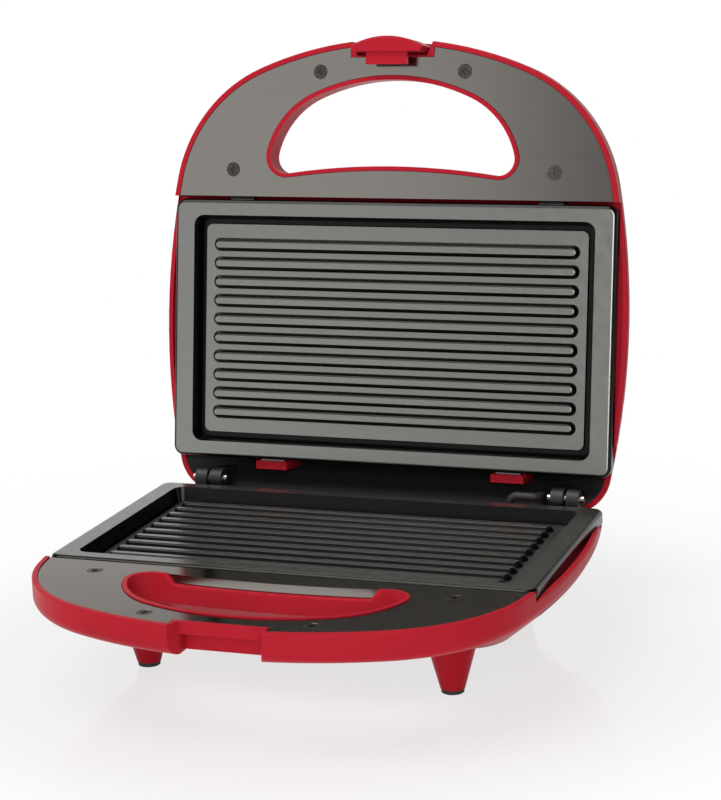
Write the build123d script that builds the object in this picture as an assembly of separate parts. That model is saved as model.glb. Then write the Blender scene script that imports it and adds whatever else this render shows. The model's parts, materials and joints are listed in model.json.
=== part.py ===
"""Hinged contact grill with ribbed plates, modelled open as an assembly of separate pieces.

Both halves are drawn in one working frame: the origin is the middle of the hinge axis, X runs to the
right, Y to the back and Z up, and Z = 0 is the parting plane between the closed halves. A half is
drawn as the lower one. The lid is the same half turned over about Y and swung open about X.
"Reach" is a distance in front of the hinge axis, so a reach of r lies at Y = -r.
"""

import os
from math import asin, cos, degrees, hypot, radians, sin, tan

from build123d import *

# Overall sizes, in millimetres and degrees
PLATE_WIDTH = 222.0
PLATE_DEPTH = 127.2
PLATE_SETBACK = 10.4
RIM_HEIGHT = 52.0
CLOSED_GAP = 0.5
OPEN_ANGLE = 98.5
HANDLE_REACH = 77.1
BAND_DEPTH = 14.0
BODY_DEPTH = 35.75
WALL = 2.5

# Plan of a half, measured from the plate
TAIL_INSET = 5.2
HAUNCH_INSET = 0.9
HAUNCH_AHEAD = 10.1
SHOULDER_INSET = 43.8
SHOULDER_DROP = 13.6
REAR_REACH = 8.0
REAR_CORNER = 20.0

# Shell edges
BAND_ROUND = 6.0
RIM_ROUND = 0.7
LEDGE_ROUND = 1.0
LEDGE_THICKNESS = 2.5
LEDGE_LAP = 4.0
STEP_AHEAD = 1.4
SHELL_EDGE_DROP = 4.2
LEDGE_DROP = 6.5
PLATE_ROOM = 0.4
SIDE_LIP_INSET = 14.6
HINGE_CUT_AHEAD = 3.0
STOP_CLEARANCE = 0.4

# Domed body behind the plate
DOME_START = 13.0
DOME_FOOT_INSET = 2.0
DOME_SIDE_RUN = 25.5
DOME_FRONT_AHEAD = 8.4
DOME_FRONT_RUN = 28.0
DOME_REAR_INSET = 2.0
DOME_REAR_RUN = 16.0
DOME_CORNER = 20.0
DOME_ROUND = 8.0

# Grip opening in the handle
GRIP_HALF_WIDTH = 62.1
GRIP_FRONT_INSET = 19.2
GRIP_SHOULDER_HALF = 39.0
GRIP_SHOULDER_DROP = 8.4
GRIP_CHORD_AHEAD = 11.3
GRIP_CHORD_BOW = 5.6
GRIP_CORNER = 8.0
COLLAR_WALL = 2.0
GRIP_ROUND = 2.0
VENT_HALF_WIDTH = 48.0
VENT_HEIGHT = 4.4
VENT_END_SLANT = 4.0
VENT_ROUND = 1.3
FLANGE_BELOW_SILL = 0.5
FLANGE_END_ROOM = 0.6

# Steel trim plate and its screws
TRIM_SHEET = 0.8
TRIM_SINK = 0.5
TRIM_CLEARANCE = 0.25
OUTER_SCREW_HALF = 80.7
OUTER_SCREW_AHEAD = 14.6
INNER_SCREW_HALF = 36.1
INNER_SCREW_INSET = 15.4
SCREW_HEAD_RADIUS = 3.4
SCREW_HEAD_HEIGHT = 1.9
SCREW_SHANK_RADIUS = 1.5
SCREW_LENGTH = 10.0
PLATE_SCREW_LENGTH = 7.0
SCREW_SLOT_LENGTH = 3.8
SCREW_SLOT_WIDTH = 0.9
SCREW_SLOT_DEPTH = 1.0
SEAT_CLEARANCE = 0.1
BOSS_RADIUS = 4.2

# Cast grill plate
RIM_THICKNESS = 6.0
PLATE_CORNER = 5.0
PLATE_EDGE_ROUND = 2.0
RIM_SIDE = 10.2
RIM_END = 7.8
CHANNEL_WIDTH = 4.4
CHANNEL_DEPTH = 7.5
FIELD_DEPTH = 6.0
FIELD_CORNER = 3.0
CHANNEL_CORNER = 5.0
WALL_DRAFT = 15.0
RIB_COUNT = 10
RIB_PITCH = 9.2
RIB_LENGTH = 185.0
RIB_WIDTH = 6.6
RIB_RIDGE = 3.6
RIB_HEIGHT = 2.5
RIB_ROUND = 1.1
SKIRT_INSET = 7.5
SKIRT_DEPTH = 14.0
SKIRT_WALL = 3.0
FIELD_THICKNESS = 3.5
LUG_HALF = 6.0
LUG_THICKNESS = 4.0
FRONT_LUG_HALF = 78.0
REAR_LUG_HALF = 60.0
LUG_SCREW_OUT = 5.4
LUG_TIP = 4.5
TONGUE_OUT = 3.0
HOOK_WALL = 2.0
HOOK_MARGIN = 2.0
POST_RADIUS = 4.0
PLATE_SCREW_HEAD = 3.0
PLATE_SCREW_HEAD_HEIGHT = 2.0

# Heating parts
HEATER_RADIUS = 3.25
HEATER_SPACING = 58.0
HEATER_BEND_INSET = 46.0
HEATER_PIN_INSET = 28.0
HEATER_PIN_RADIUS = 1.5
HEATER_PIN_LENGTH = 10.0
CONTACT_GAP = 0.1
REFLECTOR_SHEET = 0.6
REFLECTOR_INSET = 15.0
REFLECTOR_POST_HALF = 70.0
REFLECTOR_POST_SPACING = 76.0
THERMOSTAT_WIDTH = 22.0
THERMOSTAT_DEPTH = 16.0
THERMOSTAT_HEIGHT = 13.0
WINDOW_CLEARANCE = 2.0
FUSE_RADIUS = 2.2
FUSE_LENGTH = 14.0
BLOCK_WIDTH = 34.0
BLOCK_DEPTH = 16.0
BLOCK_HEIGHT = 12.0
BLOCK_SIDE = 38.0
BLOCK_BEHIND = 30.0
WIRE_RADIUS = 1.2
WIRE_BEND = 3.5

# Hinge
EAR_RADIUS = 4.6
EAR_THICKNESS = 6.0
BASE_EAR_INNER = 91.0
EAR_GAP = 1.5
PIN_RADIUS = 2.0
PIN_RUNNING = 0.05
PIN_OVERHANG = 2.0
LINER_SHEET = 2.0
LINER_FRONT = 9.0
LINK_RADIUS = 2.0
LINK_HALF_LENGTH = 7.0
LINK_MIDDLE = 70.0

# Latch and its catch
LATCH_HALF_WIDTH = 18.3
LATCH_END_SLANT = 1.7
LATCH_PROUD = 0.8
LATCH_FACE_DROP = 4.0
LATCH_INNER_DROP = 6.5
LATCH_ABOVE = 8.5
LATCH_BELOW = 9.5
LATCH_ROUND = 1.2
LATCH_PIN_DROP = 5.5
LATCH_PIN_DEPTH = 6.0
LATCH_PIN_RADIUS = 1.25
LATCH_PIN_SEAT = 2.5
LATCH_KNUCKLE = 2.0
LATCH_CLEARANCE = 0.4
HOOK_HALF_WIDTH = 10.2
HOOK_INNER_DROP = 12.5
HOOK_THICKNESS = 2.3
HOOK_SETBACK = 1.2
RECESS_MARGIN = 0.75
RECESS_FLARE = 3.4
RECESS_ROOF = 11.4
LIP_DROP = 7.1
LIP_HEIGHT = 5.4
LIP_LEDGE = 0.8
CATCH_DROP = 13.2
CATCH_WALL = 1.5

# Legs, pads, lamps and cord inlet
FRONT_LEG_HALF = 70.6
FRONT_LEG_AHEAD = 50.2
REAR_LEG_BEHIND = 58.0
LEG_FOOT_RADIUS = 5.4
LEG_FLARE = 0.27
PAD_HEIGHT = 2.0
PAD_RADIUS = 5.0
PAD_SPIGOT_RADIUS = 2.0
PAD_SPIGOT_LENGTH = 4.0
LAMP_RADIUS = 3.5
LAMP_FLANGE = 1.0
LAMP_SPACING = 24.0
LAMP_AHEAD = 34.0
LAMP_BULB_RADIUS = 2.2
LAMP_BULB_LENGTH = 9.0
GLAND_SIDE = 45.0
GLAND_DEPTH = 22.0
GLAND_RADIUS = 5.4
GLAND_BORE = 3.4
GLAND_FLANGE = 7.0
GLAND_FLANGE_THICKNESS = 2.0
GLAND_BOSS = 8.5
GLAND_LENGTH = 16.0

# Places worked out from the sizes above
RIM_Z = -CLOSED_GAP / 2
PLATE_HALF = PLATE_WIDTH / 2
PLATE_MIDDLE = PLATE_SETBACK + PLATE_DEPTH / 2
PLATE_FRONT = PLATE_SETBACK + PLATE_DEPTH
CROWN_REACH = PLATE_FRONT + HANDLE_REACH
BAND_FLOOR = -BAND_DEPTH + WALL
DOME_FLOOR = -BODY_DEPTH + WALL
EDGE_Z = RIM_Z - SHELL_EDGE_DROP
LEDGE_Z = RIM_Z - LEDGE_DROP
STEP_REACH = PLATE_FRONT + STEP_AHEAD
STOP_Z = -REAR_REACH * tan(radians(OPEN_ANGLE / 2)) - STOP_CLEARANCE
TRIM_TOP = RIM_Z - TRIM_SINK
TRIM_UNDER = TRIM_TOP - TRIM_SHEET
FIELD_Z = RIM_Z - FIELD_DEPTH
FIELD_UNDER = FIELD_Z - FIELD_THICKNESS
RIM_UNDER = RIM_Z - RIM_THICKNESS
SKIRT_Z = RIM_Z - SKIRT_DEPTH
LUG_TOP = RIM_UNDER - CONTACT_GAP
LUG_UNDER = LUG_TOP - LUG_THICKNESS
HEATER_Z = FIELD_UNDER - CONTACT_GAP - HEATER_RADIUS
REFLECTOR_TOP = HEATER_Z - HEATER_RADIUS - CONTACT_GAP
REFLECTOR_UNDER = REFLECTOR_TOP - REFLECTOR_SHEET
TABLE_Z = RIM_Z - RIM_HEIGHT
LATCH_PIN_REACH = CROWN_REACH - LATCH_PIN_DROP
LATCH_INNER_REACH = CROWN_REACH - LATCH_INNER_DROP
LIP_REACH = CROWN_REACH - LIP_DROP
LID_POCKET_REACH = LATCH_PIN_REACH - LATCH_KNUCKLE - LATCH_CLEARANCE
LATCH_INNER_HALF = LATCH_HALF_WIDTH - LATCH_END_SLANT
RECESS_HALF = LATCH_INNER_HALF + RECESS_MARGIN
NOTCH_HALF = RECESS_HALF + RECESS_FLARE
FAR = 2 * CROWN_REACH


def block(x_low, x_high, reach_low, reach_high, z_low, z_high):
    """A box between two sides, two reaches and two heights."""
    middle = Pos((x_low + x_high) / 2, -(reach_low + reach_high) / 2, (z_low + z_high) / 2)
    return middle * Box(x_high - x_low, reach_high - reach_low, z_high - z_low)


def column(x, reach, z_low, z_high, radius):
    """An upright cylinder between two heights."""
    return Pos(x, -reach, (z_low + z_high) / 2) * Cylinder(radius, z_high - z_low)


def rod(x_low, x_high, reach, z, radius):
    """A cylinder that lies along X."""
    return Pos((x_low + x_high) / 2, -reach, z) * Rot(Y=90) * Cylinder(radius, x_high - x_low)


def mirrored_pair(piece):
    """A piece and its mirror image on the other side."""
    return piece + mirror(piece, Plane.YZ)


def side_arc():
    """The long bowed side of the plan, from the haunch to the rear corner, as one edge."""
    return outline_edges()[2]


def outline_edges():
    """The right half of the plan: handle crown to shoulder, shoulder to haunch, haunch to rear."""
    crown = (0, -CROWN_REACH)
    shoulder = (PLATE_HALF - SHOULDER_INSET, SHOULDER_DROP - CROWN_REACH)
    haunch = (PLATE_HALF - HAUNCH_INSET, -PLATE_FRONT - HAUNCH_AHEAD)
    tail = (PLATE_HALF - TAIL_INSET, REAR_REACH)
    top = TangentArc(crown, shoulder, tangent=(1, 0))
    flank = TangentArc(shoulder, haunch, tangent=top % 1)
    side = TangentArc(haunch, tail, tangent=flank % 1)
    return [top, flank, side]


def plan_face(edges, closing):
    """A face from edges on the right, their mirror images, and the edge that closes them."""
    right = Curve() + edges
    return make_face(right + mirror(right, Plane.YZ) + closing)


def outline_face():
    """Plan of a whole half: an arched handle, bowed sides and a straight rear with round corners."""
    edges = outline_edges()
    tail = edges[2] @ 1
    face = plan_face(edges, Line(tail, (-tail.X, tail.Y)))
    return fillet(face.vertices().sort_by(Axis.Y)[-2:], REAR_CORNER)


def grip_face(grow=0.0):
    """Plan of the D-shaped grip opening: a round arch closed by a slightly bowed chord."""
    crown_reach = CROWN_REACH - GRIP_FRONT_INSET
    chord_reach = PLATE_FRONT + GRIP_CHORD_AHEAD - grow
    shoulder = Vector(GRIP_SHOULDER_HALF, GRIP_SHOULDER_DROP - crown_reach)
    slope = TangentArc((0, -crown_reach), shoulder, tangent=(1, 0)) % 1
    shoulder += Vector(slope.Y, -slope.X) * grow
    foot = Vector(GRIP_HALF_WIDTH + grow, -chord_reach)
    arch = TangentArc((0, -crown_reach - grow), shoulder, tangent=(1, 0))
    flank = TangentArc(shoulder, foot, tangent=slope)
    middle = (0, -chord_reach - GRIP_CHORD_BOW)
    chord = ThreePointArc(foot, middle, (-foot.X, foot.Y))
    face = plan_face([arch, flank], chord)
    return fillet(face.vertices().sort_by(Axis.Y)[-2:], GRIP_CORNER + grow)


def dome_face(z, wall):
    """Level section of the domed body at height z, set in by a wall measured square to its slopes."""
    height = BODY_DEPTH - DOME_START
    share = (-DOME_START - z) / height

    def inset(start, run):
        return start + run * share + wall * hypot(run, height) / height

    side = side_arc()
    centre = side.arc_center
    radius = side.radius - inset(DOME_FOOT_INSET, DOME_SIDE_RUN)
    front = -(PLATE_FRONT + DOME_FRONT_AHEAD - inset(0, DOME_FRONT_RUN))
    rear = REAR_REACH - inset(DOME_REAR_INSET, DOME_REAR_RUN)

    def on_side(y):
        return (centre.X + radius * cos(asin((y - centre.Y) / radius)), y)

    bow = ThreePointArc(on_side(front), on_side((front + rear) / 2), on_side(rear))
    start, end = bow @ 0, bow @ 1
    closing = [Line(end, (-end.X, end.Y)), Line((-start.X, start.Y), start)]
    face = plan_face([bow], Curve() + closing)
    return fillet(face.vertices(), DOME_CORNER - wall)


def dome(z_top, z_low, wall):
    """The domed body between two heights."""
    solid = loft([Pos(0, 0, z_top) * dome_face(z_top, wall), Pos(0, 0, z_low) * dome_face(z_low, wall)])
    return fillet(solid.edges().group_by(Axis.Z)[0], DOME_ROUND - wall)


def band(face, z_top, z_low, rounding):
    """The plan drawn down from a height, with its lower edge rounded."""
    solid = extrude(Pos(0, 0, z_top) * face, amount=z_low - z_top)
    return fillet(solid.edges().group_by(Axis.Z)[0], rounding)


def outer_form():
    """Outside of a half: full height at the handle, and lower beside the plate to clear its rim."""
    handle = band(outline_face(), RIM_Z, -BAND_DEPTH, BAND_ROUND)
    handle = fillet(handle.edges().group_by(Axis.Z)[-1], RIM_ROUND)
    handle -= block(-FAR, FAR, -FAR, STEP_REACH, -FAR, FAR)
    side = band(outline_face(), EDGE_Z, -BAND_DEPTH, BAND_ROUND)
    side = fillet(side.edges().group_by(Axis.Z)[-1], LEDGE_ROUND)
    return handle + side + dome(-DOME_START, -BODY_DEPTH, 0)


def cavity_form(wall=WALL):
    """Inside of a half: the outside set in by a wall, open at the rim."""
    inner = offset(outline_face(), amount=-wall)
    floor = -BAND_DEPTH + wall
    upper = band(inner, RIM_Z, floor, BAND_ROUND - WALL)
    return upper + dome(floor + BAND_ROUND - WALL, -BODY_DEPTH + wall, wall)


def hinge_cut_reach():
    """Reach behind which the shells are cut lower to clear each other."""
    return PLATE_SETBACK + HINGE_CUT_AHEAD


def side_ledges(outer):
    """Ledges that close the gap between the bowed sides and the plate."""
    half = PLATE_HALF - LEDGE_LAP
    slab = block(-FAR, FAR, hinge_cut_reach(), STEP_REACH, LEDGE_Z - LEDGE_THICKNESS, LEDGE_Z) & outer
    return slab - block(-half, half, -FAR, FAR, -FAR, FAR)


def plate_room():
    """Space above the ledges for the plate's rim, which leaves a low lip along each side."""
    half = PLATE_HALF + PLATE_ROOM
    room = block(-half, half, -FAR, STEP_REACH, LEDGE_Z, FAR)
    return room + block(-FAR, FAR, -FAR, PLATE_SETBACK + SIDE_LIP_INSET, LEDGE_Z, FAR)


def trim_screw_places():
    """Plan places of the four screws that hold a trim plate."""
    outer = PLATE_FRONT + OUTER_SCREW_AHEAD
    inner = CROWN_REACH - INNER_SCREW_INSET
    return [
        (side * half, reach)
        for side in (-1, 1)
        for half, reach in ((OUTER_SCREW_HALF, outer), (INNER_SCREW_HALF, inner))
    ]


def plate_screw_places():
    """Plan places of the two screws that hold the handle edge of a grill plate."""
    return [(side * FRONT_LUG_HALF, PLATE_FRONT + LUG_SCREW_OUT) for side in (-1, 1)]


def tongue_hook(outer):
    """Posts on both sides that hook over the two tongues at a plate's hinge edge."""
    half = LUG_HALF + HOOK_MARGIN
    tip = PLATE_SETBACK - TONGUE_OUT - CONTACT_GAP
    low = REAR_LUG_HALF - half
    high = REAR_LUG_HALF + half
    post = block(low, high, tip - HOOK_WALL, PLATE_SETBACK + HOOK_WALL, -BODY_DEPTH, LUG_UNDER) & outer
    post += block(low, high, tip - HOOK_WALL, tip, LUG_UNDER, LUG_TOP + HOOK_WALL)
    post += block(low, high, tip, tip + HOOK_WALL, LUG_TOP + CONTACT_GAP, LUG_TOP + HOOK_WALL)
    return mirrored_pair(post)


def reflector_post_places():
    """Plan places of the four posts that carry a reflector."""
    return [
        (side * REFLECTOR_POST_HALF, PLATE_MIDDLE + step * REFLECTOR_POST_SPACING / 2)
        for side in (-1, 1)
        for step in (-1, 1)
    ]


def leg_places():
    """Names and plan places of the four legs."""
    front = PLATE_MIDDLE + FRONT_LEG_AHEAD
    rear = PLATE_MIDDLE - REAR_LEG_BEHIND
    return {
        "front_left": (-FRONT_LEG_HALF, front),
        "front_right": (FRONT_LEG_HALF, front),
        "rear_left": (-FRONT_LEG_HALF, rear),
        "rear_right": (FRONT_LEG_HALF, rear),
    }


def legs():
    """Four tapered legs that stop at the pads and run up into the body."""
    foot_z = TABLE_Z + PAD_HEIGHT
    height = DOME_FLOOR + DOME_ROUND - foot_z
    cone = Cone(LEG_FOOT_RADIUS, LEG_FOOT_RADIUS + LEG_FLARE * height, height)
    return [Pos(x, -reach, foot_z + height / 2) * cone for x, reach in leg_places().values()]


def recess_plan(inner_reach):
    """Plan of a latch recess with slanted ends, open at the front."""
    corners = [
        (-RECESS_HALF, -inner_reach),
        (-NOTCH_HALF, -CROWN_REACH),
        (-NOTCH_HALF, -FAR),
        (NOTCH_HALF, -FAR),
        (NOTCH_HALF, -CROWN_REACH),
        (RECESS_HALF, -inner_reach),
    ]
    return make_face(Polyline(*corners, close=True))


def catch_backing(outer):
    """Solid backing of the latch recess, up to the trim, with a ledge in front of the trim."""
    half = NOTCH_HALF + CATCH_WALL
    low = CROWN_REACH - CATCH_DROP - CATCH_WALL
    backing = block(-half, half, low, FAR, -BODY_DEPTH, TRIM_UNDER) & outer
    ledge = block(-NOTCH_HALF, NOTCH_HALF, notch_reach() + TRIM_CLEARANCE, FAR, TRIM_UNDER, 0) & outer
    return backing + ledge


def notch_reach():
    """Front edge of a trim plate where it steps back behind the latch recess."""
    return min(LIP_REACH, LID_POCKET_REACH) - LIP_LEDGE


def shell_blank(outer):
    """Hollow half with its grip collar, screw bosses, plate posts and reflector posts."""
    cavity = cavity_form()
    shell = outer - cavity - plate_room()
    collar = Pos(0, 0, RIM_Z) * grip_face(COLLAR_WALL)
    shell += extrude(collar, amount=BAND_FLOOR - RIM_Z - WALL / 2)
    shell += catch_backing(outer)
    shell += side_ledges(outer)
    for x, reach in trim_screw_places():
        shell += column(x, reach, BAND_FLOOR - WALL / 2, TRIM_UNDER, BOSS_RADIUS)
    for x, reach in plate_screw_places():
        shell += column(x, reach, -BODY_DEPTH, LUG_UNDER, POST_RADIUS) & outer
    shell += tongue_hook(outer)
    for x, reach in reflector_post_places():
        shell += column(x, reach, DOME_FLOOR - WALL / 2, REFLECTOR_UNDER, POST_RADIUS)
    return shell


def screw_holes():
    """Pilot holes and countersinks for the trim and plate screws."""
    holes = [
        column(x, reach, TRIM_TOP - SCREW_LENGTH, 0, SCREW_SHANK_RADIUS)
        for x, reach in trim_screw_places()
    ]
    holes += [countersink(x, reach) for x, reach in trim_screw_places()]
    holes += [
        column(x, reach, LUG_TOP - PLATE_SCREW_LENGTH, 0, SCREW_SHANK_RADIUS)
        for x, reach in plate_screw_places()
    ]
    return holes


def countersink(x, reach):
    """Conical seat of a trim screw, just wider than its head."""
    seat = Cone(
        SCREW_SHANK_RADIUS + SEAT_CLEARANCE,
        SCREW_HEAD_RADIUS + SEAT_CLEARANCE,
        SCREW_HEAD_HEIGHT,
    )
    return Pos(x, -reach, TRIM_TOP - SCREW_HEAD_HEIGHT / 2) * seat


def grip_cut():
    """Space of the grip opening, through the whole handle."""
    return extrude(Pos(0, 0, -BODY_DEPTH) * grip_face(), amount=BODY_DEPTH)


def round_grip(shell):
    """The same shell with the outer edge of its grip opening rounded."""
    size = GRIP_HALF_WIDTH + COLLAR_WALL
    rim = [
        edge
        for edge in shell.edges().filter_by_position(Axis.Z, -BAND_DEPTH - 0.1, -BAND_DEPTH + 0.1)
        if abs(edge.center().X) < size
        and CROWN_REACH - GRIP_FRONT_INSET + 0.1 > -edge.center().Y > PLATE_FRONT + GRIP_CHORD_AHEAD - 0.1
    ]
    return fillet(rim, GRIP_ROUND)


def hinge_ears(room, inner_x, bore):
    """An ear on each side that stands on the inside of a shell and takes the hinge pin."""
    stem = block(inner_x, inner_x + EAR_THICKNESS, -EAR_RADIUS, EAR_RADIUS, -BODY_DEPTH, RIM_Z) & room
    ear = stem + rod(inner_x, inner_x + EAR_THICKNESS, 0, 0, EAR_RADIUS)
    return mirrored_pair(ear - hinge_rod(bore))


def lid_hinge_bracket():
    """Dark bracket that lines the hinge side of the lid and carries its two ears."""
    room = cavity_form()
    zone = block(-FAR, FAR, -FAR, LINER_FRONT, -BODY_DEPTH, LEDGE_Z)
    liner = (room - cavity_form(WALL + LINER_SHEET)) & zone
    ears = hinge_ears(room, lid_ear_inner(), PIN_RADIUS + PIN_RUNNING)
    return liner + ears - tongue_hook(outer_form())


def base_shell():
    """Lower housing: legs, latch catch, vent over the grip and cord inlet boss."""
    outer = outer_form()
    stood = outer
    for leg in legs():
        stood += leg
    shell = shell_blank(stood)
    shell += inlet_boss() - cavity_form()
    shell -= block(-FAR, FAR, -FAR, hinge_cut_reach(), STOP_Z, FAR)
    shell -= grip_cut()
    shell -= extrude(recess_plan(LIP_REACH), amount=-BODY_DEPTH)
    catch_reach = CROWN_REACH - CATCH_DROP
    shell -= block(-RECESS_HALF, RECESS_HALF, catch_reach, FAR, -BODY_DEPTH, RIM_Z - LIP_HEIGHT)
    shell -= vent_cut()
    for hole in screw_holes():
        shell -= hole
    for x, reach in leg_places().values():
        low = TABLE_Z + PAD_HEIGHT
        shell -= column(x, reach, low, low + PAD_SPIGOT_LENGTH, PAD_SPIGOT_RADIUS)
    shell -= inlet_bore(GLAND_RADIUS)
    return round_vent(round_grip(shell))


def lid_shell():
    """Upper housing, drawn as a lower half, with latch pocket and lamp holes."""
    outer = outer_form()
    shell = shell_blank(outer)
    shell -= grip_cut()
    shell -= extrude(recess_plan(LID_POCKET_REACH), amount=-RECESS_ROOF)
    seat = RECESS_HALF + LATCH_PIN_SEAT
    shell -= rod(-seat, seat, LATCH_PIN_REACH, -LATCH_PIN_DEPTH, LATCH_PIN_RADIUS)
    for hole in screw_holes():
        shell -= hole
    for x, reach in lamp_places():
        shell -= column(x, reach, -BODY_DEPTH, DOME_FLOOR, LAMP_RADIUS)
    return round_grip(shell)


def vent_cut():
    """Slot with slanted ends in the top of the grip collar, on the plate's side."""
    low = RIM_Z - VENT_HEIGHT
    corners = [
        (-VENT_HALF_WIDTH + VENT_END_SLANT, low),
        (VENT_HALF_WIDTH - VENT_END_SLANT, low),
        (VENT_HALF_WIDTH, 0),
        (-VENT_HALF_WIDTH, 0),
    ]
    middle = PLATE_FRONT + GRIP_CHORD_AHEAD + GRIP_CHORD_BOW / 2
    face = Plane.XZ.offset(middle) * make_face(Polyline(*corners, close=True))
    return extrude(face, amount=GRIP_CORNER, both=True)


def round_vent(shell):
    """The same shell with its vent slot rounded towards the grip opening."""
    sill = RIM_Z - VENT_HEIGHT
    slot = ShapeList(
        edge
        for edge in shell.edges().filter_by_position(Axis.Z, sill - 0.1, RIM_Z - 0.1)
        if abs(edge.center().X) < VENT_HALF_WIDTH
        and PLATE_FRONT < -edge.center().Y < PLATE_FRONT + GRIP_CHORD_AHEAD + GRIP_CHORD_BOW + 0.1
    )
    rim = slot.filter_by(GeomType.CIRCLE).sort_by(Axis.Y)[:1]
    rim += slot.filter_by(GeomType.ELLIPSE).sort_by(Axis.Y)[:2]
    return fillet(rim, VENT_ROUND)


def lid_ear_inner():
    """Inner side of a lid ear, beside the base ear."""
    return BASE_EAR_INNER - EAR_GAP - EAR_THICKNESS


def hinge_rod(radius):
    """Space of the right hinge pin at a given radius."""
    return rod(lid_ear_inner() - PIN_OVERHANG, BASE_EAR_INNER + EAR_THICKNESS + PIN_OVERHANG, 0, 0, radius)


def trim_plate():
    """Steel cover of the handle, inside the shell's rim and round the grip collar."""
    outer = offset(outline_face(), amount=-WALL - TRIM_CLEARANCE)
    opening = grip_face(COLLAR_WALL + TRIM_CLEARANCE)
    half = NOTCH_HALF + TRIM_CLEARANCE
    sheet = extrude(Pos(0, 0, TRIM_TOP) * (outer - opening), amount=-TRIM_SHEET)
    sheet -= block(-FAR, FAR, -FAR, STEP_REACH + TRIM_CLEARANCE, -FAR, FAR)
    sheet -= block(-half, half, notch_reach(), FAR, -FAR, FAR)
    for x, reach in trim_screw_places():
        sheet -= countersink(x, reach)
    return sheet


def trim_flange():
    """Turned-down edge of the base's steel cover, which shows in the vent slot over the grip."""
    edge = COLLAR_WALL + TRIM_CLEARANCE
    strip = grip_face(edge + TRIM_SHEET) - grip_face(edge)
    half = VENT_HALF_WIDTH - FLANGE_END_ROOM
    depth = VENT_HEIGHT - TRIM_SINK + FLANGE_BELOW_SILL
    flange = extrude(Pos(0, 0, TRIM_TOP) * strip, amount=-depth)
    return flange & block(-half, half, PLATE_FRONT, PLATE_FRONT + GRIP_CHORD_AHEAD + GRIP_CHORD_BOW, -FAR, FAR)


def trim_screws():
    """Four countersunk cross-head screws, flush with a trim plate."""
    head = Cone(SCREW_SHANK_RADIUS, SCREW_HEAD_RADIUS, SCREW_HEAD_HEIGHT)
    slot = Box(SCREW_SLOT_LENGTH, SCREW_SLOT_WIDTH, 2 * SCREW_SLOT_DEPTH)
    top = SCREW_HEAD_HEIGHT / 2
    screw = head + Pos(0, 0, top - SCREW_LENGTH / 2) * Cylinder(SCREW_SHANK_RADIUS, SCREW_LENGTH)
    for turn in (0, 90):
        screw -= Pos(0, 0, top) * Rot(Z=turn) * slot
    return [Pos(x, -reach, TRIM_TOP - top) * screw for x, reach in trim_screw_places()]


def rounded_slab(half, reach_low, reach_high, corner, z_high, z_low, draft):
    """A rounded rectangular block whose sides lean in by a draft as it goes down."""
    sketch = RectangleRounded(2 * half, reach_high - reach_low, corner)
    middle = Pos(0, -(reach_low + reach_high) / 2, z_high)
    return extrude(middle * sketch, amount=z_low - z_high, taper=draft)


def grill_plate():
    """Cast plate: rim, drip channel, ribbed field, skirt below, two fixing lugs and two tongues."""
    rim = rounded_slab(PLATE_HALF, PLATE_SETBACK, PLATE_FRONT, PLATE_CORNER, RIM_Z, RIM_UNDER, 0)
    rim = fillet(rim.edges().group_by(Axis.Z)[-1], PLATE_EDGE_ROUND)
    skirt_half = PLATE_HALF - SKIRT_INSET
    skirt_low = PLATE_SETBACK + SKIRT_INSET
    skirt_high = PLATE_FRONT - SKIRT_INSET
    plate = rim + block(-skirt_half, skirt_half, skirt_low, skirt_high, SKIRT_Z, RIM_UNDER)
    channel_z = RIM_Z - CHANNEL_DEPTH
    plate -= rounded_slab(
        PLATE_HALF - RIM_SIDE,
        PLATE_SETBACK + RIM_END,
        PLATE_FRONT - RIM_END,
        CHANNEL_CORNER,
        RIM_Z,
        channel_z,
        WALL_DRAFT,
    )
    raised = rounded_slab(
        PLATE_HALF - RIM_SIDE - CHANNEL_WIDTH,
        PLATE_SETBACK + RIM_END + CHANNEL_WIDTH,
        PLATE_FRONT - RIM_END - CHANNEL_WIDTH,
        FIELD_CORNER,
        FIELD_Z,
        channel_z - CONTACT_GAP,
        -WALL_DRAFT,
    )
    plate += raised
    plate -= block(
        -skirt_half + SKIRT_WALL,
        skirt_half - SKIRT_WALL,
        skirt_low + SKIRT_WALL,
        skirt_high - SKIRT_WALL,
        SKIRT_Z,
        FIELD_UNDER,
    )
    for index in range(RIB_COUNT):
        reach = PLATE_MIDDLE + (index - (RIB_COUNT - 1) / 2) * RIB_PITCH
        plate += Pos(0, -reach, FIELD_Z) * rib()
    for x, reach in plate_screw_places():
        plate += plate_lug(x, reach + LUG_TIP)
        plate -= column(x, reach, LUG_UNDER, LUG_TOP, SCREW_SHANK_RADIUS + SEAT_CLEARANCE)
    for side in (-1, 1):
        plate += plate_lug(side * REAR_LUG_HALF, PLATE_SETBACK - TONGUE_OUT)
    return plate


def rib():
    """One raised rib with sloped sides and ends, standing on Z = 0."""
    foot = SlotOverall(RIB_LENGTH, RIB_WIDTH)
    ridge = SlotOverall(RIB_LENGTH - RIB_WIDTH + RIB_RIDGE, RIB_RIDGE)
    solid = loft([foot, Pos(0, 0, RIB_HEIGHT) * ridge])
    return fillet(solid.edges().group_by(Axis.Z)[-1], RIB_ROUND)


def plate_lug(x, tip):
    """A fixing lug or tongue that runs out from the skirt to a tip."""
    outward = 1 if tip > PLATE_MIDDLE else -1
    root = PLATE_MIDDLE + outward * (PLATE_DEPTH / 2 - SKIRT_INSET - SKIRT_WALL / 2)
    return block(x - LUG_HALF, x + LUG_HALF, min(root, tip), max(root, tip), LUG_UNDER, LUG_TOP)


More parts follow.
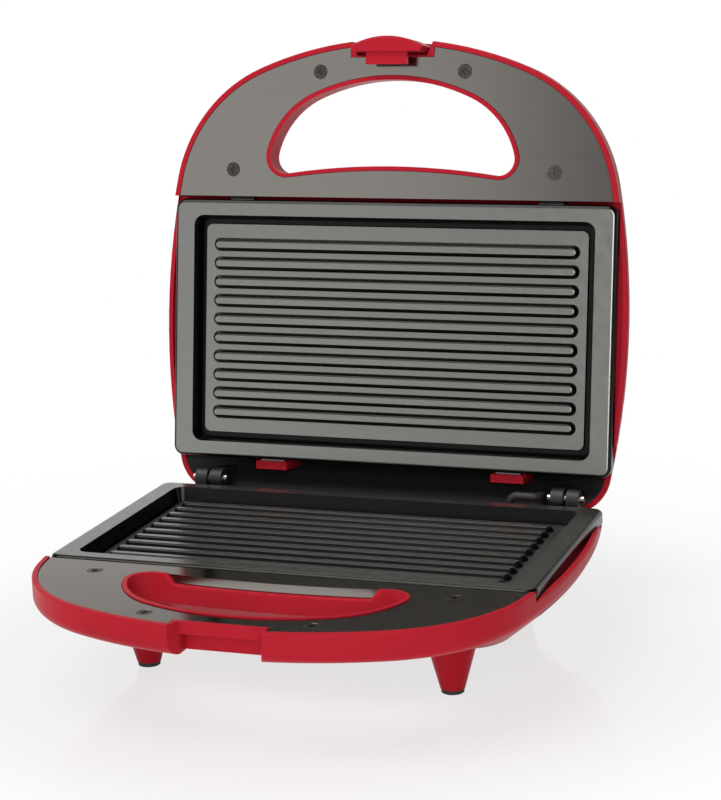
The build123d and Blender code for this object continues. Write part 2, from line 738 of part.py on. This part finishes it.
def plate_screws():
    """Two pan-head screws through the plate's lugs into the shell's posts."""
    screws = []
    for x, reach in plate_screw_places():
        head = column(x, reach, LUG_TOP, LUG_TOP + PLATE_SCREW_HEAD_HEIGHT, PLATE_SCREW_HEAD)
        head = fillet(head.edges().group_by(Axis.Z)[-1], PLATE_SCREW_HEAD_HEIGHT / 2)
        screws.append(head + column(x, reach, LUG_TOP - PLATE_SCREW_LENGTH, LUG_TOP, SCREW_SHANK_RADIUS))
    return screws


def heater():
    """U-shaped sheathed element with two terminal pins on the right."""
    left = HEATER_BEND_INSET - PLATE_HALF
    right = PLATE_HALF - HEATER_PIN_INSET
    near = -PLATE_MIDDLE + HEATER_SPACING / 2
    far = -PLATE_MIDDLE - HEATER_SPACING / 2
    bend = ThreePointArc((left, near), (left - HEATER_SPACING / 2, -PLATE_MIDDLE), (left, far))
    path = Wire([Line((right, near), (left, near)), bend, Line((left, far), (right, far))])
    section = Plane((right, near, 0), z_dir=(-1, 0, 0)) * Circle(HEATER_RADIUS)
    tube = Pos(0, 0, HEATER_Z) * sweep(section, path)
    for y in (near, far):
        tube += rod(right, right + HEATER_PIN_LENGTH, -y, HEATER_Z, HEATER_PIN_RADIUS)
    return tube


def reflector(has_window):
    """Thin sheet under the heater, with a window where a thermostat passes."""
    half = PLATE_HALF - REFLECTOR_INSET
    low = PLATE_SETBACK + REFLECTOR_INSET
    high = PLATE_FRONT - REFLECTOR_INSET
    sheet = block(-half, half, low, high, REFLECTOR_UNDER, REFLECTOR_TOP)
    if has_window:
        width = THERMOSTAT_WIDTH / 2 + WINDOW_CLEARANCE
        depth = THERMOSTAT_DEPTH / 2 + WINDOW_CLEARANCE
        sheet -= block(-width, width, PLATE_MIDDLE - depth, PLATE_MIDDLE + depth, -FAR, FAR)
    return sheet


def thermostat():
    """Bimetal thermostat pressed against the underside of the plate."""
    top = FIELD_UNDER
    width = THERMOSTAT_WIDTH / 2
    depth = THERMOSTAT_DEPTH / 2
    return block(-width, width, PLATE_MIDDLE - depth, PLATE_MIDDLE + depth, top - THERMOSTAT_HEIGHT, top)


def fuse_reach():
    """Reach of the thermal cut-out, in front of the thermostat."""
    return PLATE_MIDDLE + THERMOSTAT_DEPTH


def fuse_z():
    """Height of the thermal cut-out's middle, just under the reflector."""
    return REFLECTOR_UNDER - CONTACT_GAP - FUSE_RADIUS


def thermal_fuse():
    """Thermal cut-out lying against the underside of the reflector."""
    return rod(-FUSE_LENGTH / 2, FUSE_LENGTH / 2, fuse_reach(), fuse_z(), FUSE_RADIUS)


def block_reach():
    """Middle of the terminal block, behind the plate's middle."""
    return PLATE_MIDDLE - BLOCK_BEHIND


def terminal_block():
    """Terminal block on the floor of the base."""
    half = BLOCK_WIDTH / 2
    low = block_reach() - BLOCK_DEPTH / 2
    high = low + BLOCK_DEPTH
    return block(BLOCK_SIDE - half, BLOCK_SIDE + half, low, high, DOME_FLOOR, DOME_FLOOR + BLOCK_HEIGHT)


def wire(*corners, radius=WIRE_RADIUS):
    """A round wire along straight runs joined by bends."""
    path = FilletPolyline(*corners, radius=WIRE_BEND)
    section = Plane(path @ 0, z_dir=path % 0) * Circle(radius)
    return sweep(section, path)


def supply_wires():
    """Two wires that leave the terminal block, one to the thermostat and one to the thermal cut-out."""
    front = -block_reach() - BLOCK_DEPTH / 2
    low = DOME_FLOOR + BLOCK_HEIGHT / 2
    thermostat_x = BLOCK_SIDE - BLOCK_WIDTH / 4
    fuse_x = BLOCK_SIDE + BLOCK_WIDTH / 4
    fuse_y = -fuse_reach()
    to_thermostat = wire(
        (thermostat_x, front, low),
        (thermostat_x, -PLATE_MIDDLE, low),
        (0, -PLATE_MIDDLE, low),
        (0, -PLATE_MIDDLE, FIELD_UNDER - THERMOSTAT_HEIGHT),
    )
    to_fuse = wire(
        (fuse_x, front, low),
        (fuse_x, fuse_y, low),
        (fuse_x, fuse_y, fuse_z()),
        (FUSE_LENGTH / 2, fuse_y, fuse_z()),
    )
    return [to_thermostat, to_fuse]


def inlet_boss():
    """Round boss on the rear of the base that holds the cord gland."""
    boss = Pos(GLAND_SIDE, REAR_REACH - DOME_REAR_INSET / 2 - GLAND_LENGTH / 2, -GLAND_DEPTH) * Rot(X=90)
    return boss * Cylinder(GLAND_BOSS, GLAND_LENGTH)


def inlet_bore(radius):
    """Space through the inlet boss."""
    return Pos(GLAND_SIDE, 0, -GLAND_DEPTH) * Rot(X=90) * Cylinder(radius, 4 * GLAND_LENGTH)


def cord_gland():
    """Rubber bush of the cord inlet, with a flange outside and a bore for the cord."""
    outside = REAR_REACH - DOME_REAR_INSET / 2
    bush = Rot(X=90) * Cylinder(GLAND_RADIUS, GLAND_LENGTH)
    flange = Rot(X=90) * Cylinder(GLAND_FLANGE, GLAND_FLANGE_THICKNESS)
    gland = Pos(GLAND_SIDE, outside - GLAND_LENGTH / 2, -GLAND_DEPTH) * bush
    gland += Pos(GLAND_SIDE, outside + GLAND_FLANGE_THICKNESS / 2, -GLAND_DEPTH) * flange
    return gland - inlet_bore(GLAND_BORE)


def lamp_places():
    """Plan places of the two indicator lamps on the body."""
    reach = PLATE_MIDDLE + LAMP_AHEAD
    return [(-LAMP_SPACING / 2, reach), (LAMP_SPACING / 2, reach)]


def lamp_lens(x, reach):
    """Domed lens with a flange outside the shell."""
    stem = column(x, reach, -BODY_DEPTH, DOME_FLOOR + LAMP_FLANGE, LAMP_RADIUS)
    cap = column(x, reach, -BODY_DEPTH - LAMP_FLANGE, -BODY_DEPTH, LAMP_RADIUS + LAMP_FLANGE)
    cap = fillet(cap.edges().group_by(Axis.Z)[0], LAMP_FLANGE * 0.9)
    return stem + cap


def lamp_bulbs():
    """Two small indicator bulbs standing behind the lenses."""
    low = DOME_FLOOR + LAMP_FLANGE
    return [column(x, reach, low, low + LAMP_BULB_LENGTH, LAMP_BULB_RADIUS) for x, reach in lamp_places()]


def foot_pad(x, reach):
    """Rubber pad with a spigot into its leg."""
    top = TABLE_Z + PAD_HEIGHT
    disc = column(x, reach, TABLE_Z, top, PAD_RADIUS)
    disc = fillet(disc.edges().group_by(Axis.Z)[0], PAD_HEIGHT / 4)
    return disc + column(x, reach, top, top + PAD_SPIGOT_LENGTH, PAD_SPIGOT_RADIUS)


def latch():
    """Bowed latch tab with a knuckle on its pin and a hook that reaches under the catch."""
    side = (LATCH_HALF_WIDTH, LATCH_FACE_DROP - CROWN_REACH)
    crown = (0, -CROWN_REACH - LATCH_PROUD)
    face = ThreePointArc(side, crown, (-side[0], side[1]))
    inner = -LATCH_INNER_REACH
    half = LATCH_INNER_HALF
    back = Polyline((-side[0], side[1]), (-half, inner), (half, inner), side)
    tab = extrude(Pos(0, 0, -LATCH_ABOVE) * make_face(face + back), amount=LATCH_ABOVE + LATCH_BELOW)
    tab = fillet(tab.edges().filter_by(GeomType.CIRCLE), LATCH_ROUND)
    tab += rod(-half, half, LATCH_PIN_REACH, -LATCH_PIN_DEPTH, LATCH_KNUCKLE)
    hook_low = CROWN_REACH - HOOK_INNER_DROP
    hook_high = LATCH_INNER_REACH + LATCH_ROUND
    hook_z = LATCH_BELOW - HOOK_SETBACK
    hook = block(-HOOK_HALF_WIDTH, HOOK_HALF_WIDTH, hook_low, hook_high, hook_z - HOOK_THICKNESS, hook_z)
    tab += hook
    bore = LATCH_PIN_RADIUS + PIN_RUNNING
    return tab - rod(-LATCH_HALF_WIDTH, LATCH_HALF_WIDTH, LATCH_PIN_REACH, -LATCH_PIN_DEPTH, bore)


def latch_pin():
    """Steel pin of the latch, held in both ends of its pocket."""
    seat = RECESS_HALF + LATCH_PIN_SEAT
    return rod(-seat, seat, LATCH_PIN_REACH, -LATCH_PIN_DEPTH, LATCH_PIN_RADIUS)


def link_lead(inward, end_z):
    """Half of the lead between base and lid, which meets the other half on the hinge axis."""
    end = LINK_MIDDLE + inward * LINK_HALF_LENGTH
    return wire((LINK_MIDDLE, 0, 0), (end, 0, 0), (end, 0, end_z), radius=LINK_RADIUS)


def base_pieces():
    """Every piece of the base, by name."""
    pieces = {
        "base_shell": base_shell(),
        "base_trim_plate": trim_plate() + trim_flange(),
        "base_trim_screws": Compound(children=trim_screws()),
        "base_grill_plate": grill_plate(),
        "base_plate_screws": Compound(children=plate_screws()),
        "base_heater": heater(),
        "base_reflector": reflector(has_window=True),
        "thermostat": thermostat(),
        "thermal_fuse": thermal_fuse(),
        "terminal_block": terminal_block(),
        "supply_wires": Compound(children=supply_wires()),
        "cord_gland": cord_gland(),
        "base_link_lead": link_lead(-1, -BAND_DEPTH),
        "base_hinge_ears": hinge_ears(cavity_form(), BASE_EAR_INNER, PIN_RADIUS),
        "hinge_pin_right": hinge_rod(PIN_RADIUS),
        "hinge_pin_left": mirror(hinge_rod(PIN_RADIUS), Plane.YZ),
    }
    for place, (x, reach) in leg_places().items():
        pieces["foot_pad_" + place] = foot_pad(x, reach)
    return pieces


def lid_pieces():
    """Every piece of the lid and its latch, by name, drawn as a lower half."""
    left_lamp, right_lamp = lamp_places()
    return {
        "lid_shell": lid_shell(),
        "lid_hinge_bracket": lid_hinge_bracket(),
        "lid_trim_plate": trim_plate(),
        "lid_trim_screws": Compound(children=trim_screws()),
        "lid_grill_plate": grill_plate(),
        "lid_plate_screws": Compound(children=plate_screws()),
        "lid_heater": heater(),
        "lid_reflector": reflector(has_window=False),
        "lid_link_lead": mirror(link_lead(1, BAND_FLOOR + LINER_SHEET), Plane.YZ),
        "power_lamp_lens": lamp_lens(*left_lamp),
        "ready_lamp_lens": lamp_lens(*right_lamp),
        "lamp_bulbs": Compound(children=lamp_bulbs()),
        "latch_pin": latch_pin(),
        "latch": latch(),
    }


def assembly():
    """All pieces at rest with the lid open, standing on Z = 0 and centred over the origin."""
    opened = Rot(X=-OPEN_ANGLE) * Rot(Y=180)
    pieces = base_pieces()
    pieces.update({name: opened * piece for name, piece in lid_pieces().items()})
    extent = Compound(children=[Compound(piece.solids()) for piece in pieces.values()]).bounding_box()
    home = Pos(0, -(extent.min.Y + extent.max.Y) / 2, -TABLE_Z)
    return {name: home * piece for name, piece in pieces.items()}


os.makedirs("parts", exist_ok=True)
for name, piece in assembly().items():
    export_step(piece, f"parts/{name}.step")
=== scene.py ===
"""Open contact grill: finishes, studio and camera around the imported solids."""

import json
import math

import bpy
from mathutils import Matrix, Vector

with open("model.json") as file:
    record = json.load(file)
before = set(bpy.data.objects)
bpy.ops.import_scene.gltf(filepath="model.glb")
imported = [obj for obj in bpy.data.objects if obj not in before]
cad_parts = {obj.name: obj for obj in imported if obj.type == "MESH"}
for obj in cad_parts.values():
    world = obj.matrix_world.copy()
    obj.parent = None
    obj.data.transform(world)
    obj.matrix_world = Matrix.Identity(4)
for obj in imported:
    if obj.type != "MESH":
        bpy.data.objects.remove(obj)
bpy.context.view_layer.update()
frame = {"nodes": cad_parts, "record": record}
nodes = frame["nodes"]

# Most noise values lie between these two.
NOISE_LOW = 0.3
NOISE_HIGH = 0.7

# Depths under the plate's rim between which painted shade darkens the coat towards the drip channel.
CHANNEL_LOW = 0.0072
CHANNEL_HIGH = 0.0064

# Cosines of a surface's tilt from the plate's face: painted shade at the first, a painted reflection
# at the second.
EDGE_FACING = 0.94
FLAT_FACING = 0.996

# Reach of the lugs past the plate's front edge, and the width over which painted shade darkens the
# coat there.
LUG_LENGTH = 0.0098
LUG_FADE = 0.0002

OPEN_ANGLE = math.radians(frame["record"]["behaviour"]["joints"][0]["range_deg"][1])
LID_SIN = math.sin(OPEN_ANGLE)
LID_COS = math.cos(OPEN_ANGLE)

# The coat's darkest speckle, as a share of the painted reflection on its flats.
SPECKLE_LOW = 0.92

FLOOR_HALF = 6.0
FLOOR_DARK = (0.93, 0.93, 0.93, 1)
FLOOR_LIGHT = (0.95, 0.95, 0.95, 1)
FLOOR_MIRROR_ROUGHNESS = 0.12

# Share of plain white in the floor near the object, and the distances over which it turns all white.
FLOOR_WHITE_NEAR = 0.88
FLOOR_FADE_START = 0.16
FLOOR_FADE_END = 0.40

# Distances over which the floor loses its mirror image.
SHEEN_FADE_START = 0.13
SHEEN_FADE_END = 0.24

# Light levels of the studio.
WINDOW_LEFT = 0.6
WINDOW_MIDDLE = 0.9
WINDOW_RIGHT = 0.08
CEILING = 0.1

# Direction components between which one level of the studio fades into the next.
WINDOW_LEFT_FADE = (-0.62, -0.40)
WINDOW_RIGHT_FADE = (-0.31, -0.17)
BACKDROP_FADE = (-0.55, 0.05)
CEILING_FADE = (0.22, 0.44)

LIGHT_TARGET = (0, 0, 0.1)

# The fitted view: the camera's turn, rise and roll, its place from the view's centre, and its lens.
VIEW_TURN = math.radians(19.33)
VIEW_RISE = math.radians(12.97)
VIEW_ROLL = math.radians(-1.81)
VIEW_DISTANCE = 0.9891
VIEW_SLIDE = 0.0146
VIEW_LIFT = 0.0509
VIEW_CENTRE = Vector((0.0, 0.0063328, 0.06))
FOCAL_PIXELS = 2193.0
IMAGE_HEIGHT = 800.0
SENSOR = 36.0


def linear(red, green, blue):
    """A colour given in display values from 0 to 255, as linear light."""

    def channel(value):
        share = value / 255
        return share / 12.92 if share <= 0.04045 else ((share + 0.055) / 1.055) ** 2.4

    return (channel(red), channel(green), channel(blue), 1.0)


def map_range(tree, value, from_low, from_high, to_low, to_high):
    """A smooth step between two values."""
    node = tree.nodes.new("ShaderNodeMapRange")
    node.interpolation_type = "SMOOTHSTEP"
    node.inputs["From Min"].default_value = from_low
    node.inputs["From Max"].default_value = from_high
    node.inputs["To Min"].default_value = to_low
    node.inputs["To Max"].default_value = to_high
    tree.links.new(value, node.inputs["Value"])
    return node


def combine(tree, operation, first, second):
    """Result of a math operation on two values."""
    node = tree.nodes.new("ShaderNodeMath")
    node.operation = operation
    tree.links.new(first, node.inputs[0])
    tree.links.new(second, node.inputs[1])
    return node.outputs["Value"]


def multiply(tree, first, second):
    """Product of two values."""
    return combine(tree, "MULTIPLY", first, second)


def larger(tree, first, second):
    """The larger of two values."""
    return combine(tree, "MAXIMUM", first, second)


class Finish:
    """A node material under construction around one Principled shader."""

    def __init__(self, name):
        self.material = bpy.data.materials.new(name)
        self.material.use_nodes = True
        self.tree = self.material.node_tree
        self.shader = self.tree.nodes["Principled BSDF"]
        texture = self.tree.nodes.new("ShaderNodeTexCoord")
        self.place = texture.outputs["Object"]
        self.normal = texture.outputs["Normal"]

    def set(self, **values):
        """Sets plain values on the shader's own sockets."""
        for key, value in values.items():
            self.shader.inputs[key.replace("_", " ")].default_value = value
        return self

    def link(self, output, target):
        """Joins two sockets."""
        self.tree.links.new(output, target)

    def stretched(self, scale):
        """Object coordinates scaled along each axis."""
        mapping = self.tree.nodes.new("ShaderNodeMapping")
        mapping.inputs["Scale"].default_value = scale
        self.link(self.place, mapping.inputs["Vector"])
        return mapping.outputs["Vector"]

    def along(self, vector, direction):
        """Length of a vector along a direction."""
        node = self.tree.nodes.new("ShaderNodeVectorMath")
        node.operation = "DOT_PRODUCT"
        node.inputs[1].default_value = direction
        self.link(vector, node.inputs[0])
        return node.outputs["Value"]

    def noise(self, scale, detail=3.0, rough=0.5, vector=None):
        """Value of a noise texture."""
        node = self.tree.nodes.new("ShaderNodeTexNoise")
        node.inputs["Scale"].default_value = scale
        node.inputs["Detail"].default_value = detail
        node.inputs["Roughness"].default_value = rough
        self.link(vector or self.place, node.inputs["Vector"])
        return node.outputs["Fac"]

    def colour(self, value, dark, light, start=NOISE_LOW, end=NOISE_HIGH):
        """Base colour that goes from dark to light as a value rises."""
        node = self.tree.nodes.new("ShaderNodeValToRGB")
        stops = ((start, dark), (end, light))
        for element, (position, shade) in zip(node.color_ramp.elements, stops):
            element.position = position
            element.color = shade
        self.link(value, node.inputs["Fac"])
        self.link(node.outputs["Color"], self.shader.inputs["Base Color"])
        return self

    def spread(self, value, low, high):
        """A noise value remapped onto a new range."""
        node = self.tree.nodes.new("ShaderNodeMapRange")
        node.inputs["From Min"].default_value = NOISE_LOW
        node.inputs["From Max"].default_value = NOISE_HIGH
        node.inputs["To Min"].default_value = low
        node.inputs["To Max"].default_value = high
        self.link(value, node.inputs["Value"])
        return node.outputs["Result"]

    def roughness(self, value, low, high):
        """Gloss that varies with a noise value."""
        self.link(self.spread(value, low, high), self.shader.inputs["Roughness"])
        return self

    def bump(self, height, strength, distance):
        """Fine relief from a height value."""
        node = self.tree.nodes.new("ShaderNodeBump")
        node.inputs["Strength"].default_value = strength
        node.inputs["Distance"].default_value = distance
        self.link(height, node.inputs["Height"])
        self.link(node.outputs["Normal"], self.shader.inputs["Normal"])
        return self


def moulded_plastic(name, dark, light, rough):
    """Injection-moulded plastic: faint colour drift, fine surface grain, uneven gloss."""
    finish = Finish(name)
    finish.colour(finish.noise(scale=14.0, detail=2.0), dark, light)
    finish.roughness(finish.noise(scale=60.0, detail=4.0), *rough)
    finish.bump(finish.noise(scale=900.0, detail=2.0), strength=0.04, distance=0.0004)
    return finish


def sheet_steel(name, dark, light, rough):
    """Rolled sheet steel with faint grain along X."""
    finish = Finish(name).set(Metallic=1.0)
    drawn_out = finish.stretched((25.0, 1400.0, 1400.0))
    grain = finish.noise(scale=1.0, detail=4.0, rough=0.6, vector=drawn_out)
    finish.colour(grain, dark, light)
    finish.roughness(grain, *rough)
    finish.bump(grain, strength=0.004, distance=0.0002)
    return finish


def coated_casting(name, plate, outward, ahead, dark, light, rough):
    """Coated casting, speckled: a painted reflection on the flats, and painted shade on slopes, round
    edges, channel and lugs.
    """
    finish = Finish(name).set(Metallic=0.9)
    tree = finish.tree
    turn = plate.matrix_world.to_3x3().inverted()
    outward = (turn @ Vector(outward)).normalized()
    ahead = (turn @ Vector(ahead)).normalized()
    rim = max(vertex.co.dot(outward) for vertex in plate.data.vertices)
    edge = max(vertex.co.dot(ahead) for vertex in plate.data.vertices) - LUG_LENGTH
    facing = finish.along(finish.normal, outward)
    flat = map_range(tree, facing, EDGE_FACING, FLAT_FACING, 0.0, 1.0)
    height = finish.along(finish.place, outward)
    raised = map_range(tree, height, rim - CHANNEL_LOW, rim - CHANNEL_HIGH, 0.0, 1.0)
    reach = finish.along(finish.place, ahead)
    within = map_range(tree, reach, edge, edge + LUG_FADE, 1.0, 0.0)
    # Painted light: the flats get a painted reflection, and slopes, round edges, the channel and the
    # lugs get painted shade.
    share = multiply(tree, flat.outputs["Result"], raised.outputs["Result"])
    share = multiply(tree, share, within.outputs["Result"])
    speckle = finish.spread(finish.noise(scale=2600.0, detail=1.0), SPECKLE_LOW, 1.0)
    finish.colour(multiply(tree, share, speckle), dark, light, start=0.0, end=1.0)
    finish.roughness(finish.noise(scale=220.0, detail=3.0), *rough)
    finish.bump(finish.noise(scale=700.0, detail=2.0), strength=0.08, distance=0.0003)
    return finish


def plain_grain(name, dark, light, rough, scale, metallic=0.0):
    """A small piece's finish: mottled colour, uneven gloss and a fine bump."""
    finish = Finish(name).set(Metallic=metallic)
    grain = finish.noise(scale, detail=4.0)
    finish.colour(grain, dark, light)
    finish.roughness(grain, *rough)
    finish.bump(grain, strength=0.1, distance=0.0002)
    return finish


RED_DARK = linear(168, 28, 42)
RED_LIGHT = linear(178, 32, 46)
# The non-stick coat: its own dark colour deepened into painted shade, and a painted reflection for its
# flats.
COAT_DARK_SHADED = linear(34, 34, 33)
COAT_PAINTED_SHEEN = linear(144, 144, 140)

finishes = {
    "red_plastic": moulded_plastic("red_plastic_moulded", RED_DARK, RED_LIGHT, rough=(0.30, 0.38)),
    "latch_plastic": moulded_plastic("latch_plastic_moulded", RED_DARK, RED_LIGHT, rough=(0.28, 0.36)),
    "steel_trim": sheet_steel(
        "trim_sheet_steel", linear(140, 136, 131), linear(144, 140, 135), rough=(0.13, 0.16)
    ),
    "bright_sheet": sheet_steel(
        "reflector_sheet", linear(196, 197, 199), linear(214, 215, 217), rough=(0.22, 0.3)
    ),
    "black_steel": plain_grain(
        "blackened_screw_steel", linear(70, 68, 64), linear(92, 90, 85),
        rough=(0.3, 0.4), scale=900.0, metallic=0.9,
    ),
    "plain_steel": plain_grain(
        "plated_steel", linear(150, 150, 148), linear(185, 185, 182),
        rough=(0.22, 0.34), scale=700.0, metallic=1.0,
    ),
    "heater_sheath": plain_grain(
        "oxidised_sheath", linear(92, 88, 84), linear(126, 120, 112),
        rough=(0.45, 0.6), scale=400.0, metallic=1.0,
    ),
    "ceramic": plain_grain(
        "glazed_ceramic", linear(214, 210, 200), linear(230, 227, 219), rough=(0.4, 0.55), scale=500.0
    ),
    "white_plastic": plain_grain(
        "white_nylon", linear(224, 224, 219), linear(236, 236, 232), rough=(0.45, 0.55), scale=600.0
    ),
    "black_plastic": plain_grain(
        "black_moulding", linear(24, 23, 23), linear(36, 35, 35), rough=(0.45, 0.6), scale=700.0
    ),
    "wire_sleeve": plain_grain(
        "wire_sleeving", linear(26, 26, 27), linear(44, 44, 45), rough=(0.5, 0.65), scale=800.0
    ),
    "black_rubber": plain_grain(
        "black_rubber_grain", linear(24, 24, 25), linear(42, 42, 43), rough=(0.6, 0.78), scale=900.0
    ),
    "red_lens": plain_grain(
        "red_lens_plastic", linear(190, 16, 12), linear(206, 26, 20), rough=(0.08, 0.14), scale=300.0
    ),
    "green_lens": plain_grain(
        "green_lens_plastic", linear(24, 140, 50), linear(40, 158, 64), rough=(0.08, 0.14), scale=300.0
    ),
    "clear_glass": plain_grain(
        "bulb_glass", linear(228, 230, 230), linear(240, 242, 242), rough=(0.03, 0.08), scale=300.0
    ),
}
for lens in ("red_lens", "green_lens"):
    finishes[lens].set(Transmission_Weight=0.35, IOR=1.49)
finishes["clear_glass"].set(Transmission_Weight=0.9, IOR=1.47)
for plastic in ("red_plastic", "latch_plastic"):
    finishes[plastic].set(Specular_IOR_Level=0.05)
finishes["steel_trim"].set(Specular_Tint=(0.85, 0.82, 0.80, 1.0))

# The grill plates' coats carry painted shade and a painted reflection.
plate_finishes = {
    name: coated_casting(
        name + "_coat_painted_light", nodes[name], outward, ahead, COAT_DARK_SHADED, COAT_PAINTED_SHEEN, rough=(0.22, 0.27)
    )
    for name, outward, ahead in (
        ("base_grill_plate", (0, 0, 1), (0, -1, 0)),
        ("lid_grill_plate", (0, -LID_SIN, -LID_COS), (0, -LID_COS, LID_SIN)),
    )
}

for part in frame["record"]["subparts"]:
    node = nodes[part["node"]]
    finish = plate_finishes.get(part["node"]) or finishes[part["material_slot"]]
    node.data.materials.clear()
    node.data.materials.append(finish.material)


def floor_material():
    """White floor that keeps soft shadows and a faint mirror image close to the object."""
    finish = Finish("pale_floor")
    finish.colour(finish.noise(scale=3.0, detail=2.0), FLOOR_DARK, FLOOR_LIGHT)
    finish.set(Roughness=0.9, Specular_IOR_Level=0.0)
    tree = finish.tree
    reach = tree.nodes.new("ShaderNodeVectorMath")
    reach.operation = "LENGTH"
    finish.link(finish.place, reach.inputs[0])
    distance = reach.outputs["Value"]
    white_share = map_range(tree, distance, FLOOR_FADE_START, FLOOR_FADE_END, FLOOR_WHITE_NEAR, 1.0)
    path = tree.nodes.new("ShaderNodeLightPath")
    seen = larger(tree, path.outputs["Is Camera Ray"], path.outputs["Is Glossy Ray"])
    seen = larger(tree, seen, path.outputs["Is Transmission Ray"])
    share = multiply(tree, seen, white_share.outputs["Result"])
    white = tree.nodes.new("ShaderNodeEmission")
    base = tree.nodes.new("ShaderNodeMixShader")
    finish.link(share, base.inputs["Fac"])
    finish.link(finish.shader.outputs["BSDF"], base.inputs[1])
    finish.link(white.outputs["Emission"], base.inputs[2])
    mirror = tree.nodes.new("ShaderNodeBsdfGlossy")
    mirror.inputs["Roughness"].default_value = FLOOR_MIRROR_ROUGHNESS
    fresnel = tree.nodes.new("ShaderNodeFresnel")
    sheen = map_range(tree, distance, SHEEN_FADE_START, SHEEN_FADE_END, 1.0, 0.0)
    gloss = multiply(tree, fresnel.outputs["Fac"], sheen.outputs["Result"])
    top = tree.nodes.new("ShaderNodeMixShader")
    finish.link(gloss, top.inputs["Fac"])
    finish.link(base.outputs["Shader"], top.inputs[1])
    finish.link(mirror.outputs["BSDF"], top.inputs[2])
    finish.link(top.outputs["Shader"], tree.nodes["Material Output"].inputs["Surface"])
    return finish.material


def add_floor():
    """A large plain floor under the feet."""
    half = FLOOR_HALF
    mesh = bpy.data.meshes.new("studio_floor")
    corners = [(-half, -half, 0), (half, -half, 0), (half, half, 0), (-half, half, 0)]
    mesh.from_pydata(corners, [], [(0, 1, 2, 3)])
    mesh.materials.append(floor_material())
    floor = bpy.data.objects.new("studio_floor", mesh)
    bpy.context.scene.collection.objects.link(floor)


def add_area_light(name, place, size, power):
    """A square soft light aimed at the object."""
    lamp = bpy.data.lights.new(name, "AREA")
    lamp.size = size
    lamp.energy = power
    light = bpy.data.objects.new(name, lamp)
    light.location = place
    light.rotation_euler = (Vector(LIGHT_TARGET) - Vector(place)).to_track_quat("-Z", "Y").to_euler()
    bpy.context.scene.collection.objects.link(light)


def studio_world():
    """White backdrop, a bright window in front to the left, and a dim right side and ceiling."""
    world = bpy.data.worlds.new("studio")
    bpy.context.scene.world = world
    world.use_nodes = True
    tree = world.node_tree
    background = tree.nodes["Background"]
    place = tree.nodes.new("ShaderNodeTexCoord")
    split = tree.nodes.new("ShaderNodeSeparateXYZ")
    tree.links.new(place.outputs["Generated"], split.inputs["Vector"])
    left = map_range(tree, split.outputs["X"], *WINDOW_LEFT_FADE, WINDOW_LEFT, WINDOW_MIDDLE)
    right = map_range(tree, split.outputs["X"], *WINDOW_RIGHT_FADE, 1.0, WINDOW_RIGHT)
    front = multiply(tree, left.outputs["Result"], right.outputs["Result"])
    depth = map_range(tree, split.outputs["Y"], *BACKDROP_FADE, 0.0, 1.0)
    tree.links.new(front, depth.inputs["To Min"])
    rise = map_range(tree, split.outputs["Z"], *CEILING_FADE, 1.0, CEILING)
    around = multiply(tree, depth.outputs["Result"], rise.outputs["Result"])
    path = tree.nodes.new("ShaderNodeLightPath")
    level = tree.nodes.new("ShaderNodeMix")
    seen = larger(tree, path.outputs["Is Camera Ray"], path.outputs["Is Transmission Ray"])
    tree.links.new(seen, level.inputs["Factor"])
    tree.links.new(around, level.inputs["A"])
    level.inputs["B"].default_value = 1.0
    tree.links.new(level.outputs["Result"], background.inputs["Color"])
    background.inputs["Strength"].default_value = 1.0


def add_camera():
    """The camera at the fitted viewpoint."""
    back = Vector((
        math.sin(VIEW_TURN) * math.cos(VIEW_RISE),
        -math.cos(VIEW_TURN) * math.cos(VIEW_RISE),
        math.sin(VIEW_RISE),
    ))
    level = Vector((math.cos(VIEW_TURN), math.sin(VIEW_TURN), 0.0))
    upright = back.cross(level)
    right = level * math.cos(VIEW_ROLL) + upright * math.sin(VIEW_ROLL)
    up = upright * math.cos(VIEW_ROLL) - level * math.sin(VIEW_ROLL)
    place = VIEW_CENTRE + back * VIEW_DISTANCE + level * VIEW_SLIDE + upright * VIEW_LIFT
    data = bpy.data.cameras.new("view")
    data.sensor_fit = "VERTICAL"
    data.sensor_height = SENSOR
    data.lens = FOCAL_PIXELS / IMAGE_HEIGHT * SENSOR
    data.clip_start = 0.01
    camera = bpy.data.objects.new("view", data)
    turn = Matrix((right, up, back)).transposed().to_4x4()
    camera.matrix_world = Matrix.Translation(place) @ turn
    bpy.context.scene.collection.objects.link(camera)
    bpy.context.scene.camera = camera


add_floor()
studio_world()
add_area_light("key", place=(-0.5, -0.45, 1.7), size=1.2, power=27.0)
add_area_light("fill", place=(0.45, -1.5, 0.55), size=0.9, power=12.0)
add_camera()
bpy.context.scene.view_settings.view_transform = "Standard"
